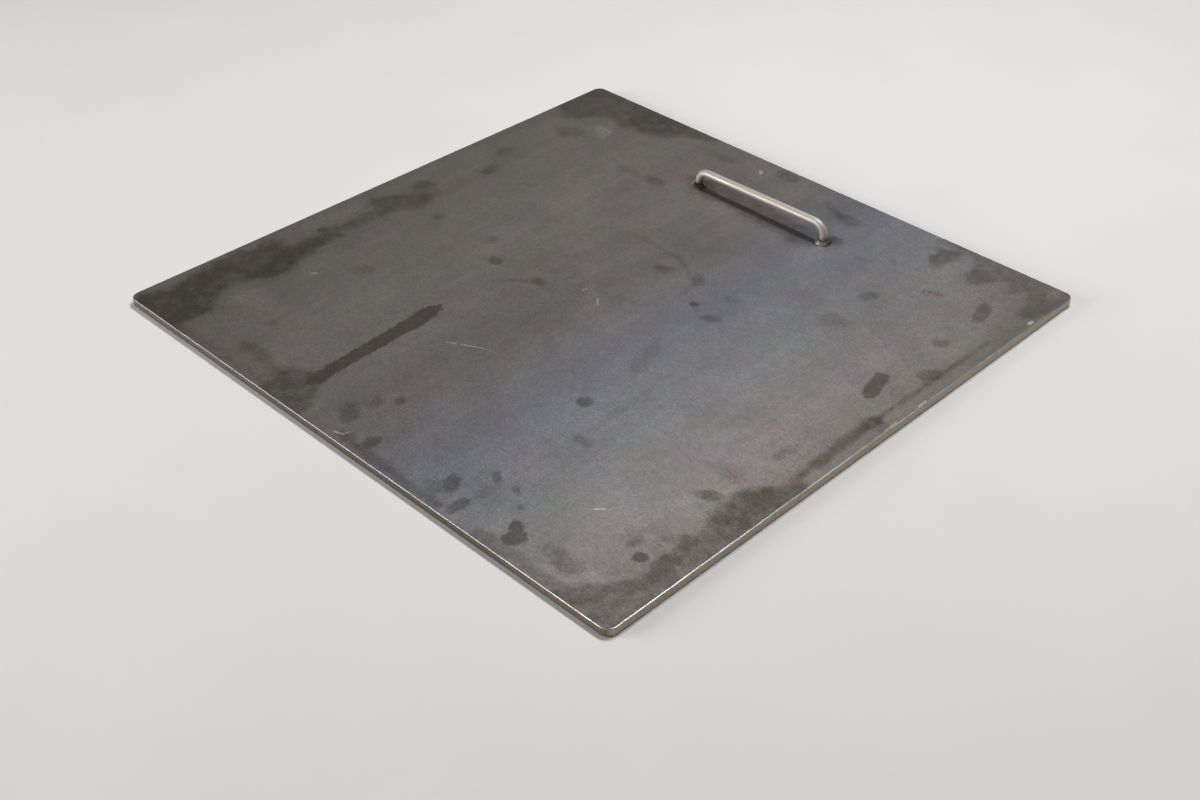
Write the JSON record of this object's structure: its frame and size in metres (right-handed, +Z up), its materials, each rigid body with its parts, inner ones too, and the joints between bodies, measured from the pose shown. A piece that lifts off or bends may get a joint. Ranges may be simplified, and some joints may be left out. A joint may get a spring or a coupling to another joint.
{
  "type": "steel plate with lifting handle",
  "caption": "Square steel plate with dressed edges and a low lifting handle of bent round bar welded near one edge.",
  "frame": {"origin": "middle of the plate's underside, on the floor", "axes": "+Z up through the plate's thickness, +X along the edge that the handle runs beside, +Y towards that edge"},
  "size_m": [0.78, 0.78, 0.0383],
  "materials": {
    "plate_steel": "dark mill scale with a fine grain, drip marks, stains and bright worn edges",
    "handle_steel": "bare bright round bar, satin",
    "weld_metal": "rippled weld metal with heat tint"
  },
  "bodies": {
    "root": {"plate": "plate_steel", "handle": "handle_steel", "handle_weld_left": "weld_metal", "handle_weld_right": "weld_metal"}
  },
  "joints": []
}
